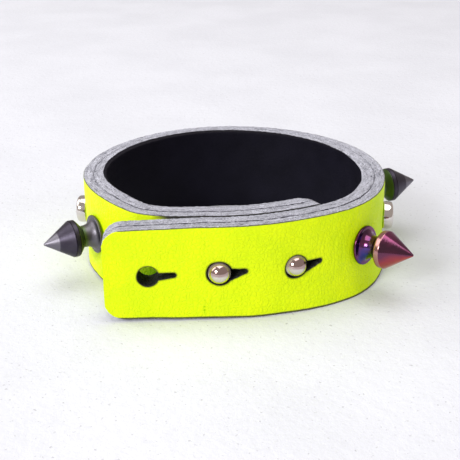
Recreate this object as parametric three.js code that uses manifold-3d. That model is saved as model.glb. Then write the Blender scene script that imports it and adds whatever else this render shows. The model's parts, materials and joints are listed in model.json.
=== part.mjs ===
// A studded leather wristband, standing on its edge and buttoned. Millimetres, +Z up, closure facing -Y.
//
// Two leather plies, a bright top ply and a dark lining, run once round the wrist and overlap at the front.
// Spikes and cap studs are fixed through the top ply, with their screws and rivets hidden under the lining.
// The front tab has three keyholes; two of them are buttoned over ball studs on the strap's under end.
// The leather that bends when the tab is opened is cut there, so each stretch can turn about its own axis.

import * as THREE from "three";
import { mergeVertices } from "three/addons/utils/BufferGeometryUtils.js";
import Module from "manifold-3d";

const wasm = await Module();
wasm.setup();

// ---- Driving dimensions -----------------------------------------------------------------------------

const STRAP_WIDTH = 20; // cut width of the leather, and the height of the band
const TOP_PLY = 2.2;
const LINING_PLY = 2.6;
const GLUE_LINE = 0.2;
const LAP_GAP = 0.4; // between the tab's lining and the under end
const FLEX_GAP = 0.55; // between stretches of leather that turn against each other
const CORNER_RADIUS = 4; // both ends of the strap
const SKIVE_LENGTH = 4; // the under end's lining thins over this length
const SKIVE_EDGE = 0.9; // thickness left at its end

const RING_RADIUS = 33.2; // outer face to centre, all round but for the two flats
const FLATS = [
  { centre: -71, half: 45, depth: 2.0 }, // behind the closure, where two layers are stiff
  { centre: -140, half: 40, depth: 1.4 }, // left of the closure
];
const UNDER_START = -46; // polar angle of the under end, degrees
const UNDER_INSET = { full: -100, none: -134 }; // where the under end is a whole layer in, and where out
const TAB_ROOT = -47; // polar angle where the tab starts to bend
const TAB_LIFT_OFF = -97; // from here the tab runs straight
const TAB_REACH = 21.5; // length of that straight stretch
const TAB_PIVOT = { angle: -42.6, outside: 1.1 }; // the tab turns about a line this far outside the leather
const BALL = { radius: 2.2, neck: 1.1, flange: 2.3, flangeThick: 0.6 };
const BALL_CLEARANCE = 0.4; // between a ball and the keyhole it is buttoned through
const BUTTONED = { radius: BALL.radius + BALL_CLEARANCE, slitRoot: 0.95, buttoned: true };
const KEYHOLES = [ // punched by hand: rise is above the middle of the strap
  { fromTip: 8.6, rise: -0.6, radius: 2.2, slitRoot: 0.6, buttoned: false },
  { fromTip: 22.5, rise: 0, ...BUTTONED },
  { fromTip: 38.2, rise: 0, ...BUTTONED },
];
const SLIT_REACH = 5.4; // from the keyhole's centre to the slit's end
const SLIT_END = 0.45; // half width at that end
const BALL_SINK = 0.6; // from the tab's outer face down to a ball's centre
const TIP_CLEAR = 3.2; // between the first keyhole's slit and where the tip bends
const TIP_ROOT = KEYHOLES[0].fromTip + SLIT_REACH + TIP_CLEAR; // from the tab's end to where its tip bends

const TRIM = [ // spikes and cap studs in turn, set by hand: polar angle, height over the middle, upward tilt
  { angle: -36, rise: 0.4, tilt: 5 },
  { angle: -6, rise: 0.5, tilt: 0 },
  { angle: 17, rise: 1.8, tilt: 4 },
  { angle: 51, rise: 0, tilt: 0 },
  { angle: 82, rise: 0, tilt: 0 },
  { angle: 113, rise: 0, tilt: 0 },
  { angle: 144, rise: 0, tilt: 0 },
  { angle: 177.5, rise: 0, tilt: 0 },
  { angle: 205, rise: 0.4, tilt: 0 },
];
const IRIDESCENT_SPIKES = [1, 3]; // the other spikes are gunmetal
const SEAT_GAP = 0.12; // between metal and the leather under it
const THREAD_GAP = 0.2; // around a shank in its hole

const SPIKE = {
  radius: 3.9, flange: 0.7,
  waist: 2.35, waistAt: 3.1, // its slim neck
  coneFrom: 4.8, band: 1.1, length: 11.8, tip: 0.3,
};
const FLARE = { in: 0.72, up: 0.4 }; // the neck's curve passes here, in shares of the way to the waist
const SHOULDER = { out: 0.25, up: 0.75 }; // and here, from waist to cone
const CAP = { radius: 3.05, height: 2.45, edge: 0.9, crown: 0.1 };
const ROLL = 0.3; // the roll of the cap's edge passes this share in from its corner
const SPIKE_SCREW = { shank: 1.3, head: 3.0, headThick: 0.8, length: 6.2, slot: 0.7, slotDepth: 0.4 };
const BALL_SCREW = { shank: 0.55, head: 2.4, headThick: 0.7, length: 4.2, slot: 0.5, slotDepth: 0.35 };
const RIVET = { shank: 1.2, head: 2.6, headThick: 0.6, length: 2.9 };
const BORE = { // room past the end of a shank, and the depth of the drill's point
  spike: { spare: 0.6, point: 0.5 },
  cap: { spare: 0.4, point: 0 },
  ball: { spare: 0.4, point: 0.3 },
};
const EDGE_BREAK = 0.3; // chamfer at the foot of turned metal, and at a shank's end
const HEAD_BREAK = 0.2; // chamfer under a hidden head

const BAND_STEP = 6; // degrees between the leather's facets
const STRAIGHT_STEP = 5; // length of a facet where the tab is straight
const SHORTEST_FACET = 0.2;
const UNDER_SHARE = 0.12; // of the strap's length that may lie under the tab
const UNDER_SEARCH = { length: 60, samples: 600 }; // where ball studs may stand, and how finely placed
const BALL_STEPS = 7;
const ROUND_SIDES = 16;
const HOLE_SIDES = 12;

const THICKNESS = TOP_PLY + GLUE_LINE + LINING_PLY;
const MID_HEIGHT = STRAP_WIDTH / 2;
const HEAD_FOOT = -TOP_PLY + SEAT_GAP; // underside of a hidden head, sunk in the top ply's flesh side

// ---- The strap's path in plan -----------------------------------------------------------------------

const rad = THREE.MathUtils.degToRad;

/** Radius of the ring's outer face at a polar angle: a circle less a smooth hump for each flat. */
function ringRadius(angle) {
  const hump = ({ centre, half, depth }) => {
    const away = Math.abs(THREE.MathUtils.euclideanModulo(angle - centre + 180, 360) - 180);
    return away < half ? depth * Math.cos((Math.PI / 2) * (away / half)) ** 2 : 0;
  };
  return RING_RADIUS - FLATS.map(hump).reduce((a, b) => a + b);
}

/** A point of the outer face. turn runs clockwise from UNDER_START: the first stretch is one layer in. */
function ringPoint(turn) {
  const inset = 1 - THREE.MathUtils.smoothstep(turn, -UNDER_INSET.full, -UNDER_INSET.none);
  const radius = ringRadius(-turn) - (THICKNESS + LAP_GAP) * inset;
  return new THREE.Vector2(radius * Math.cos(rad(-turn)), radius * Math.sin(rad(-turn)));
}

/** The path from the under end, clockwise round the wrist, to the tab's end: points, normals and lengths. */
function strapPath() {
  const first = -UNDER_START;
  const last = 360 - TAB_LIFT_OFF;
  const steps = Math.ceil((last - first) / BAND_STEP);
  const points = [];
  for (let i = 0; i <= steps; i++) points.push(ringPoint(first + ((last - first) * i) / steps));
  const heading = points.at(-1).clone().sub(points.at(-2)).normalize();
  const straight = Math.ceil(TAB_REACH / STRAIGHT_STEP);
  const liftOff = points.at(-1).clone();
  for (let i = 1; i <= straight; i++) {
    points.push(liftOff.clone().addScaledVector(heading, (TAB_REACH * i) / straight));
  }
  let length = 0;
  return points.map((point, i) => {
    const [before, after] = [points[Math.max(i - 1, 0)], points[Math.min(i + 1, points.length - 1)]];
    const along = after.clone().sub(before).normalize();
    if (i) length += point.distanceTo(points[i - 1]);
    return { point, normal: new THREE.Vector2(-along.y, along.x), length };
  });
}

const PATH = strapPath();
const STRAP_LENGTH = PATH.at(-1).length;

/** The outer face at a length along the strap: its point and its outward normal. */
function station(length) {
  const i = Math.max(1, PATH.findIndex((p) => p.length >= length - 1e-9));
  const [a, b] = [PATH[i - 1], PATH[i]];
  const share = (length - a.length) / (b.length - a.length);
  return {
    point: a.point.clone().lerp(b.point, share),
    normal: a.normal.clone().lerp(b.normal, share).normalize(),
    length,
  };
}

/** Length along the strap at a polar angle of the outer layer, counting on from the second time round. */
function lengthAt(angle) {
  const turn = THREE.MathUtils.euclideanModulo(UNDER_INSET.full - angle, 360) - UNDER_INSET.full;
  const target = ringPoint(turn);
  const near = (p) => p.point.distanceTo(target);
  const outer = PATH.filter((p) => p.length > STRAP_LENGTH * UNDER_SHARE);
  const best = outer.reduce((a, b) => (near(b) < near(a) ? b : a));
  const along = new THREE.Vector2(best.normal.y, -best.normal.x);
  return best.length + target.clone().sub(best.point).dot(along);
}

const TAB_ROOT_LENGTH = lengthAt(TAB_ROOT);
const TIP_ROOT_LENGTH = STRAP_LENGTH - TIP_ROOT;

// ---- Solids -----------------------------------------------------------------------------------------

/** A closed geometry as a manifold-3d solid. */
function solidOf(geometry) {
  const bare = geometry.index ? geometry.toNonIndexed() : geometry.clone();
  bare.deleteAttribute("normal");
  bare.deleteAttribute("uv");
  const merged = mergeVertices(bare, 1e-4);
  const mesh = new wasm.Mesh({
    numProp: 3,
    vertProperties: new Float32Array(merged.attributes.position.array),
    triVerts: new Uint32Array(merged.index.array),
  });
  return new wasm.Manifold(mesh);
}

/** A manifold-3d solid as a geometry. */
function geometryOf(solid) {
  const { vertProperties, triVerts } = solid.getMesh();
  return new THREE.BufferGeometry()
    .setAttribute("position", new THREE.BufferAttribute(new Float32Array(vertProperties), 3))
    .setIndex(new THREE.BufferAttribute(new Uint32Array(triVerts), 1));
}

/** Leather between two depths under the outer face, for a stretch of strap: its plan outline, extruded. */
function leather(from, to, depth, thickness) {
  const inside = PATH.filter((p) => p.length > from + SHORTEST_FACET && p.length < to - SHORTEST_FACET);
  const run = [station(from), ...inside, station(to)];
  const edge = (p, d) => p.point.clone().addScaledVector(p.normal, -d);
  const outer = run.map((p) => edge(p, depth));
  const inner = run.map((p) => edge(p, depth + thickness(p))).reverse();
  const outline = new THREE.Shape([...outer, ...inner]);
  return solidOf(new THREE.ExtrudeGeometry(outline, { depth: STRAP_WIDTH, bevelEnabled: false }));
}

/** The matrix of a frame on the strap: local X along it, local Y up the band, local Z out along axis. */
function frameAt({ point, normal, axis = normal, rise = 0, tilt = 0 }) {
  const level = new THREE.Vector3(axis.x, axis.y, 0).normalize();
  const along = new THREE.Vector3(0, 0, 1).cross(level);
  const out = level.clone().applyAxisAngle(along, -rad(tilt));
  const up = new THREE.Vector3().crossVectors(out, along);
  return new THREE.Matrix4().makeBasis(along, up, out).setPosition(point.x, point.y, MID_HEIGHT + rise);
}

/** A flat outline pushed through the leather, from below its inner face to above its outer face. */
function punch(shape, place, reach = THICKNESS * 2) {
  const settings = { depth: 2 * reach, bevelEnabled: false, curveSegments: HOLE_SIDES };
  const geometry = new THREE.ExtrudeGeometry(shape, settings);
  return solidOf(geometry.translate(0, 0, -reach).applyMatrix4(frameAt(place)));
}

/** A round pocket square to a place, between two heights over the outer face. */
function pocket(place, radius, low, high) {
  const round = new THREE.CylinderGeometry(radius, radius, high - low, HOLE_SIDES).rotateX(Math.PI / 2);
  return solidOf(round.translate(0, 0, (low + high) / 2).applyMatrix4(frameAt(place)));
}

/** What is cut off to round the corners at one end of the strap. sign is the way the leather goes from it. */
function endCorners(end, sign) {
  const [r, half, past] = [CORNER_RADIUS, STRAP_WIDTH / 2, 1];
  const keep = new THREE.Shape();
  keep.moveTo(sign * (r + 2 * past), -half);
  keep.lineTo(sign * r, -half);
  keep.absarc(sign * r, r - half, r, -Math.PI / 2, sign > 0 ? -Math.PI : 0, sign > 0);
  keep.lineTo(0, half - r);
  keep.absarc(sign * r, half - r, r, sign > 0 ? Math.PI : 0, Math.PI / 2, sign > 0);
  keep.lineTo(sign * (r + 2 * past), half);
  const plate = new THREE.Shape([
    new THREE.Vector2(-sign * past, -half - past), new THREE.Vector2(sign * (r + past), -half - past),
    new THREE.Vector2(sign * (r + past), half + past), new THREE.Vector2(-sign * past, half + past),
  ]);
  return punch(plate, end).subtract(punch(keep, end, THICKNESS * 3));
}

/** A keyhole: a round hole with a slit towards the tab's root, narrowing to a round end. */
function keyholeShape({ radius, slitRoot }) {
  const open = Math.asin(slitRoot / radius);
  const shape = new THREE.Shape();
  shape.absarc(0, 0, radius, open, 2 * Math.PI - open, false);
  shape.absarc(SLIT_REACH - SLIT_END, 0, SLIT_END, -Math.PI / 2, Math.PI / 2, false);
  return shape;
}

// ---- Stations of holes and trim ---------------------------------------------------------------------

const pivotAngle = rad(TAB_PIVOT.angle);
const pivotRadius = ringRadius(TAB_PIVOT.angle) + TAB_PIVOT.outside;
const TAB_AXIS = new THREE.Vector2(pivotRadius * Math.cos(pivotAngle), pivotRadius * Math.sin(pivotAngle));
const TIP_AXIS = station(TIP_ROOT_LENGTH).point;

/** A buttoned keyhole leans so that its ball leaves along the chord of its arc about the tab's axis. */
function keyholeAxis(hole, place) {
  if (!hole.buttoned) return place.normal;
  const arm = place.point.clone().sub(TAB_AXIS);
  const swung = arm.clone().rotateAround(new THREE.Vector2(), -THICKNESS / arm.length());
  return arm.sub(swung).normalize();
}

const holes = KEYHOLES.map((hole) => {
  const place = station(STRAP_LENGTH - hole.fromTip);
  return { ...hole, ...place, axis: keyholeAxis(hole, place) };
});

/** A ball stud stands square on the under end, with its ball's centre just inside the tab's outer face. */
function studUnder(hole) {
  const { length, samples } = UNDER_SEARCH;
  const under = Array.from({ length: samples }, (_, i) => station((i / samples) * length));
  const away = (p) => p.point.distanceTo(hole.point);
  const { point } = under.reduce((a, b) => (away(b) < away(a) ? b : a));
  const reach = hole.point.clone().sub(point);
  return { point, normal: reach.clone().normalize(), ballAt: reach.length() - BALL_SINK };
}

const ballStuds = holes.filter((hole) => hole.buttoned).map(studUnder);
const trim = TRIM.map(({ angle, rise, tilt }, i) => {
  return { ...station(lengthAt(angle)), rise, tilt, spike: i % 2 === 0 };
});

// ---- Leather ----------------------------------------------------------------------------------------

const TOP = { depth: 0, thickness: () => TOP_PLY };
const LINING = {
  depth: TOP_PLY + GLUE_LINE,
  thickness({ length }) {
    return THREE.MathUtils.lerp(SKIVE_EDGE, LINING_PLY, Math.min(length / SKIVE_LENGTH, 1));
  },
};
const BAND = { from: 0, to: TAB_ROOT_LENGTH - FLEX_GAP / 2, end: { at: 0, sign: -1 } };
const TAB = { from: TAB_ROOT_LENGTH + FLEX_GAP / 2, to: TIP_ROOT_LENGTH - FLEX_GAP / 2 };
const TIP = { from: TIP_ROOT_LENGTH + FLEX_GAP / 2, to: STRAP_LENGTH, end: { at: STRAP_LENGTH, sign: 1 } };

/** One ply over one stretch of the strap, with its corners rounded and the given cutters taken out. */
function plyOver(stretch, ply, cutters) {
  const ends = stretch.end ? [endCorners(station(stretch.end.at), stretch.end.sign)] : [];
  const blank = leather(stretch.from, stretch.to, ply.depth, ply.thickness);
  return geometryOf([...ends, ...cutters].reduce((solid, cutter) => solid.subtract(cutter), blank));
}

/** Hole for a shank through the top ply, and the pocket in its flesh side that hides the fastener's head. */
function fastenerCuts(place, { shank, head, headThick }) {
  return [
    pocket(place, shank + THREAD_GAP, -THICKNESS, THICKNESS),
    pocket(place, head + THREAD_GAP, -THICKNESS, HEAD_FOOT + headThick + SEAT_GAP),
  ];
}

/** A tilted spike's flange beds into the leather on one side. */
const leaning = trim.filter((t) => t.spike && t.tilt);
const beds = leaning.map((t) => pocket(t, SPIKE.radius + THREAD_GAP, 0, THICKNESS));
const trimCuts = [...beds, ...trim.flatMap((t) => fastenerCuts(t, t.spike ? SPIKE_SCREW : RIVET))];
const studCuts = ballStuds.flatMap((s) => [
  ...fastenerCuts(s, BALL_SCREW),
  pocket(s, BALL.flange + THREAD_GAP, -BALL.flangeThick - 2 * SEAT_GAP, THICKNESS / 4),
]);
const inTip = (hole) => hole.fromTip < TIP_ROOT;
const tipHoles = holes.filter(inTip).map((hole) => punch(keyholeShape(hole), hole));
const tabHoles = holes.filter((hole) => !inTip(hole)).map((hole) => punch(keyholeShape(hole), hole));

// ---- Metal, turned about local Z with the leather's outer face at zero ------------------------------

/** A solid of revolution about local Z from [radius, height] points, closed on the axis at both ends. */
function turned(profile, sides = ROUND_SIDES) {
  const points = profile.map(([r, z]) => new THREE.Vector2(r, z));
  return new THREE.LatheGeometry(points, sides).rotateX(Math.PI / 2);
}

/** Spike: flange, hollow waist, short straight band and a long cone, with a blind hole from below. */
function spikeGeometry() {
  const { radius, flange, waist, waistAt, coneFrom, band, length, tip } = SPIKE;
  const { lerp } = THREE.MathUtils;
  const bore = SPIKE_SCREW.shank + THREAD_GAP;
  const boreTop = SPIKE_SCREW.length - TOP_PLY + BORE.spike.spare;
  return turned([
    [0, boreTop], [bore, boreTop - BORE.spike.point], [bore, SEAT_GAP],
    [radius - EDGE_BREAK, SEAT_GAP], [radius, SEAT_GAP + EDGE_BREAK], [radius, flange],
    [lerp(radius, waist, FLARE.in), lerp(flange, waistAt, FLARE.up)],
    [waist, waistAt],
    [lerp(waist, radius, SHOULDER.out), lerp(waistAt, coneFrom, SHOULDER.up)],
    [radius, coneFrom], [radius, coneFrom + band], [tip, length - tip / 2], [0, length],
  ]);
}

/** Cap stud: a low round cap with a rolled edge, and a socket that the rivet's shank is driven into. */
function capGeometry() {
  const { radius, height, edge, crown } = CAP;
  const socket = RIVET.shank + THREAD_GAP;
  const socketTop = RIVET.length - TOP_PLY + BORE.cap.spare;
  return turned([
    [0, socketTop], [socket, socketTop - BORE.cap.point], [socket, SEAT_GAP],
    [radius - EDGE_BREAK, SEAT_GAP], [radius, SEAT_GAP + EDGE_BREAK], [radius, height - edge],
    [radius - edge * ROLL, height - edge * ROLL], [radius - edge, height - crown / 2], [0, height + crown],
  ]);
}

/** Ball stud: a flange sunk in the leather, a neck, and a ball whose centre is at ballAt. */
function ballStudGeometry(ballAt) {
  const { radius, neck, flange, flangeThick } = BALL;
  const bore = BALL_SCREW.shank + THREAD_GAP;
  const boreTop = BALL_SCREW.length - TOP_PLY + BORE.ball.spare;
  const start = Math.asin(neck / radius);
  const ball = Array.from({ length: BALL_STEPS + 1 }, (_, i) => {
    const a = start + ((Math.PI - start) * i) / BALL_STEPS;
    return [i === BALL_STEPS ? 0 : radius * Math.sin(a), ballAt - radius * Math.cos(a)];
  });
  return turned([
    [0, boreTop], [bore, boreTop - BORE.ball.point], [bore, -flangeThick],
    [flange, -flangeThick], [flange, -SEAT_GAP / 2], [neck, SEAT_GAP], ...ball,
  ]);
}

/** Screw or rivet, pushed up from the flesh side: a flat head in its pocket, and a shank. */
function fastenerGeometry({ shank, head, headThick, length, slot, slotDepth }) {
  const top = HEAD_FOOT + length;
  const profile = [
    [0, HEAD_FOOT], [head - HEAD_BREAK, HEAD_FOOT], [head, HEAD_FOOT + HEAD_BREAK],
    [head, HEAD_FOOT + headThick], [shank, HEAD_FOOT + headThick],
    [shank, top - EDGE_BREAK], [shank - EDGE_BREAK, top], [0, top],
  ];
  const body = turned(profile, HOLE_SIDES);
  if (!slot) return body;
  const cut = new THREE.BoxGeometry(3 * head, slot, 2 * slotDepth).translate(0, 0, HEAD_FOOT);
  return geometryOf(solidOf(body).subtract(solidOf(cut)));
}

// ---- Finishes ---------------------------------------------------------------------------------------

const finish = (color, roughness, metalness) => {
  return new THREE.MeshStandardMaterial({ color, roughness, metalness });
};
const NEON_LEATHER = finish(0xe6fb1a, 0.55, 0);
const BLACK_LEATHER = finish(0x16141d, 0.7, 0);
const GUNMETAL = finish(0x5b5566, 0.3, 1);
const IRIDESCENT = finish(0x8a3a5c, 0.2, 1);
const NICKEL = finish(0xd2cbc4, 0.18, 1);
const STEEL = finish(0x9a9a9c, 0.4, 1);

// ---- Assembly ---------------------------------------------------------------------------------------

const wristband = new THREE.Group();

function add(name, geometry, material, place) {
  const mesh = new THREE.Mesh(geometry, material);
  mesh.name = name;
  if (place) mesh.applyMatrix4(frameAt(place));
  wristband.add(mesh);
}

add("top_ply_band", plyOver(BAND, TOP, [...trimCuts, ...studCuts]), NEON_LEATHER);
add("lining_band", plyOver(BAND, LINING, []), BLACK_LEATHER);
add("top_ply_tab", plyOver(TAB, TOP, tabHoles), NEON_LEATHER);
add("lining_tab", plyOver(TAB, LINING, tabHoles), BLACK_LEATHER);
add("top_ply_tip", plyOver(TIP, TOP, tipHoles), NEON_LEATHER);
add("lining_tip", plyOver(TIP, LINING, tipHoles), BLACK_LEATHER);

trim.forEach((place, i) => {
  const number = Math.floor(i / 2) + 1;
  if (place.spike) {
    const material = IRIDESCENT_SPIKES.includes(number) ? IRIDESCENT : GUNMETAL;
    add(`spike_${number}`, spikeGeometry(), material, place);
    add(`spike_screw_${number}`, fastenerGeometry(SPIKE_SCREW), STEEL, place);
  } else {
    add(`cap_stud_${number}`, capGeometry(), NICKEL, place);
    add(`cap_rivet_${number}`, fastenerGeometry(RIVET), STEEL, place);
  }
});
ballStuds.forEach((place, i) => {
  add(`ball_stud_${i + 1}`, ballStudGeometry(place.ballAt), NICKEL, place);
  add(`ball_screw_${i + 1}`, fastenerGeometry(BALL_SCREW), STEEL, place);
});

// The frame's origin is under the middle of the whole object's box, on the surface it stands on.
const middle = new THREE.Box3().setFromObject(wristband).getCenter(new THREE.Vector3());
wristband.position.set(-middle.x, -middle.y, 0);
wristband.userData.axes = { tab: TAB_AXIS.clone().sub(middle), tip: TIP_AXIS.clone().sub(middle) };
wristband.userData.ringCentre = new THREE.Vector2(-middle.x, -middle.y);

export default wristband;
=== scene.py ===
# %% [markdown]
# # A studded leather wristband
#
# A stiff cuff of two leather plies, neon outside and black inside, buttoned over ball studs and set with
# spikes and cap studs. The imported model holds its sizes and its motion. This lesson gives it its surfaces:
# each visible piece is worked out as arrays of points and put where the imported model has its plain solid.

import json
import math

import bpy
import numpy as np
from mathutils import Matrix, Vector


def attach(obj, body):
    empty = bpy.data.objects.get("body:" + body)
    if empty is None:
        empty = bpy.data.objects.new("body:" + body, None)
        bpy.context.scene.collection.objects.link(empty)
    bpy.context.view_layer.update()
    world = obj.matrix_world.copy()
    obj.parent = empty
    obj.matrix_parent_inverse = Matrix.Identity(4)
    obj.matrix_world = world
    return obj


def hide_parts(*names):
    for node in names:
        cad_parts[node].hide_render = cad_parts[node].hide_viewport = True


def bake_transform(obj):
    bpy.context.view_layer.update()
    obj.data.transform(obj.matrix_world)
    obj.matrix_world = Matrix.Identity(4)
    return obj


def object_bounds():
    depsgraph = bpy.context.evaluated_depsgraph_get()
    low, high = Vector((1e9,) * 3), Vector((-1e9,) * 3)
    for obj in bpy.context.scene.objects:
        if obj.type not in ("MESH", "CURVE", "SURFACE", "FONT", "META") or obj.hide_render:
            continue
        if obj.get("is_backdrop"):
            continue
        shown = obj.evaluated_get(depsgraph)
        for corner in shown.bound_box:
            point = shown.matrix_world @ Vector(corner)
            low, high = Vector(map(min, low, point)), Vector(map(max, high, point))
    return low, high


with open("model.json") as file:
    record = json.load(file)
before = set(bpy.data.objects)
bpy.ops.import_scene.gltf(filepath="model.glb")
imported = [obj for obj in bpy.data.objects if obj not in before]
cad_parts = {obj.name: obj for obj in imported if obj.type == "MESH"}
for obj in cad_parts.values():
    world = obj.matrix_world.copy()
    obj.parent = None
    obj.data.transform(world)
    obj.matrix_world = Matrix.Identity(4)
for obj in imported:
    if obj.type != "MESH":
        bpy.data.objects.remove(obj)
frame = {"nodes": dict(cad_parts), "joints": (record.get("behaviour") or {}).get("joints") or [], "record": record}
cad_low, cad_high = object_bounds()
MM = 0.001  # sizes below are in millimetres, and meshes in metres
box = [round((b - a) / MM, 1) for a, b in zip(cad_low, cad_high)]
print("nodes:", len(frame["nodes"]), "box:", box)

# %% [markdown]
# ## The strap's path
#
# The strap is a flat strip that goes once round the wrist and a little further. It could be a curve drawn by
# hand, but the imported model's path is a formula, so the same formula gives every point here with no fitting:
# a circle with two flatter stretches, whose first stretch lies one layer further in, and a straight end.

# %% Sizes of the strap and its path
STRAP_WIDTH = 20.0
TOP_PLY = 2.2
LINING_PLY = 2.6
GLUE_LINE = 0.2
LAP_GAP = 0.4
CORNER_RADIUS = 4.0
SKIVE_LENGTH = 4.0
SKIVE_EDGE = 0.55
LINING_DEPTH = TOP_PLY + GLUE_LINE
LAYER = LINING_DEPTH + LINING_PLY + LAP_GAP

RING_RADIUS = 33.2
FLATS = ((-71, 45, 2.0), (-140, 40, 1.4))  # centre and half width in degrees, depth
UNDER_START, TAB_LIFT_OFF = -46, -97
INSET_FULL, INSET_NONE = 100, 134
TAB_REACH = 21.5
CHORD_STEP = 6.0
PIVOT_ANGLE, PIVOT_OUTSIDE = -42.6, 1.1
LEAN = (-35, 68, 1.2)  # centre and half width in degrees, most at the foot
INSET_LENGTH = 60.0  # the strap's length that may lie under the tab
ROUND_POINTS, STRAIGHT_POINTS = 1600, 60
SMOOTHING = 25  # points of the path that its direction is averaged over


def hump(angle, centre, half, depth):
    """A squared cosine over the ring: its full depth at centre, and nothing beyond half as many degrees."""
    away = np.abs((angle - centre + 180) % 360 - 180)
    return np.where(away < half, depth * np.cos(np.pi / 2 * np.minimum(away / half, 1)) ** 2, 0)


def ring_radius(angle):
    """Radius of the outer face: a circle less a hump at each flat."""
    return RING_RADIUS - sum(hump(angle, *flat) for flat in FLATS)


def ring_point(turn):
    """Point of the outer face after a clockwise turn: one layer in at first, then out by a smooth step."""
    share = np.clip((turn - INSET_FULL) / (INSET_NONE - INSET_FULL), 0, 1)
    radius = ring_radius(-turn) - LAYER * (1 - share * share * (3 - 2 * share))
    return np.stack([radius * np.cos(np.radians(-turn)), radius * np.sin(np.radians(-turn))], -1)


pivot = np.array(next(j for j in frame["joints"] if j["name"] == "tab_flex")["pos_m"]) / MM
pivot_radius = ring_radius(np.array(PIVOT_ANGLE)) + PIVOT_OUTSIDE
pivot_turn = math.radians(PIVOT_ANGLE)
RING_CENTRE = pivot[:2] - pivot_radius * np.array([math.cos(pivot_turn), math.sin(pivot_turn)])

last_turn = 360 - TAB_LIFT_OFF
chord = (last_turn + UNDER_START) / math.ceil((last_turn + UNDER_START) / CHORD_STEP)
turns = np.linspace(-UNDER_START, last_turn, ROUND_POINTS)
round_part = ring_point(turns)
heading = round_part[-1] - ring_point(np.array(last_turn - chord))
heading /= np.linalg.norm(heading)
straight_part = round_part[-1] + np.linspace(0, TAB_REACH, STRAIGHT_POINTS)[1:, None] * heading
PATH = np.concatenate([round_part, straight_part])
PATH_LENGTH = np.concatenate([[0], np.cumsum(np.linalg.norm(np.diff(PATH, axis=0), axis=1))])
END = PATH_LENGTH[-1]
tangent = np.gradient(PATH, PATH_LENGTH, axis=0)
margin = SMOOTHING // 2
for k in (0, 1):
    tangent[margin:-margin, k] = np.convolve(tangent[:, k], np.ones(SMOOTHING) / SMOOTHING, "valid")
NORMAL = np.stack([-tangent[:, 1], tangent[:, 0]], -1) / np.linalg.norm(tangent, axis=1)[:, None]


def lean(s, z):
    """How far the outer layer stands out towards its foot, by the first spike: a cubic down the strap."""
    share = (1 - z / STRAP_WIDTH).clip(0, 1) ** 3
    return np.where(s > INSET_LENGTH, hump(polar_at(s), *LEAN) * share, 0)


def along_path(s, values):
    """Values given at the path's points, x and y, read at lengths along it."""
    return (np.interp(s, PATH_LENGTH, values[:, k]) for k in (0, 1))


def place(s, z, depth):
    """Where a point of the strap is: s along it, z up it, depth below its outer face. In metres."""
    depth = depth - lean(s, z)
    x, y = (at - depth * out for at, out in zip(along_path(s, PATH), along_path(s, NORMAL)))
    return np.stack([x + RING_CENTRE[0], y + RING_CENTRE[1], z], -1) * MM


def polar_at(s):
    """Polar angle in degrees of the outer face at a length along the strap."""
    x, y = along_path(s, PATH)
    return np.degrees(np.arctan2(y, x))


def length_at(angle):
    """Length along the strap where its outer layer passes a polar angle."""
    turn = (-angle - INSET_FULL) % 360 + INSET_FULL
    return float(np.interp(turn, turns, PATH_LENGTH[: len(turns)]))


print("strap length", round(END, 1), "ring centre", RING_CENTRE.round(3))

# %% [markdown]
# ## Axes of the turned metal
#
# Every spike and stud is a body of revolution. Its axis is the one direction in which its points spread
# differently from the other two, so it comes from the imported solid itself, with no angle written twice.

# %% Axis of a turned node
def points_of(node):
    """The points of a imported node, as rows of x, y and z in metres."""
    mesh = frame["nodes"][node].data
    points = np.empty(len(mesh.vertices) * 3)
    mesh.vertices.foreach_get("co", points)
    return points.reshape(-1, 3)


def axis_of(node):
    """Foot point and outward unit vector of a turned node: the odd eigenvector of its points' spread."""
    points = np.unique(points_of(node).round(7), axis=0)
    middle = points.mean(0)
    values, vectors = np.linalg.eigh(np.cov((points - middle).T))
    out = vectors[:, 2] if values[2] - values[1] > values[1] - values[0] else vectors[:, 0]
    from_centre = middle[:2] - RING_CENTRE * MM
    out = out if out[:2] @ from_centre > 0 else -out
    return middle + out * ((points - middle) @ out).min(), out


SPIKES = [n for n in sorted(frame["nodes"]) if n.startswith("spike_") and "screw" not in n]
CAPS = [n for n in sorted(frame["nodes"]) if n.startswith("cap_stud")]
BALLS = [n for n in sorted(frame["nodes"]) if n.startswith("ball_stud")]
print(SPIKES, CAPS, BALLS)

# %% [markdown]
# ## Meshes and soft noise
#
# A surface here is an array of points and an array of faces. The small unevenness of hand work is a sum of a
# few seeded waves, so it is smooth, never repeats over the strap, and comes out the same each time.

# %% Helpers for meshes
SHORTEST_WAVE, WAVE_RANGE = 0.6, 0.9  # shares of the wanted length


def waves(u, v, length, seed, count=9):
    """Smooth noise of about unit size: waves of nearly one length in seeded directions, summed."""
    rng = np.random.default_rng(seed)
    total = np.zeros(np.broadcast(u, v).shape)
    angles, phases, stretches = rng.random(count) * math.tau, rng.random(count) * math.tau, rng.random(count)
    for angle, phase, stretch in zip(angles, phases, stretches):
        pace = math.tau / (length * (SHORTEST_WAVE + WAVE_RANGE * stretch))
        total += np.sin(pace * (np.cos(angle) * u + np.sin(angle) * v) + phase)
    return total / math.sqrt(count)


def new_piece(name, points, faces, finishes, finish_of_face=None, fields=None):
    """A smooth-shaded object of points in metres. fields are vectors kept on its points for its finish."""
    mesh = bpy.data.meshes.new(name)
    mesh.from_pydata(points.tolist(), [], [list(f) for f in faces])
    for finish in finishes:
        mesh.materials.append(finish)
    if finish_of_face is not None:
        mesh.polygons.foreach_set("material_index", np.asarray(finish_of_face, np.int32))
    for key, values in (fields or {}).items():
        kept = mesh.attributes.new(key, "FLOAT_VECTOR", "POINT")
        kept.data.foreach_set("vector", values.astype(np.float32).ravel())
    mesh.shade_smooth()
    mesh.update()
    piece = bpy.data.objects.new(name, mesh)
    bpy.context.scene.collection.objects.link(piece)
    print(name, len(points), "points", len(faces), "faces")
    return piece


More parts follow.
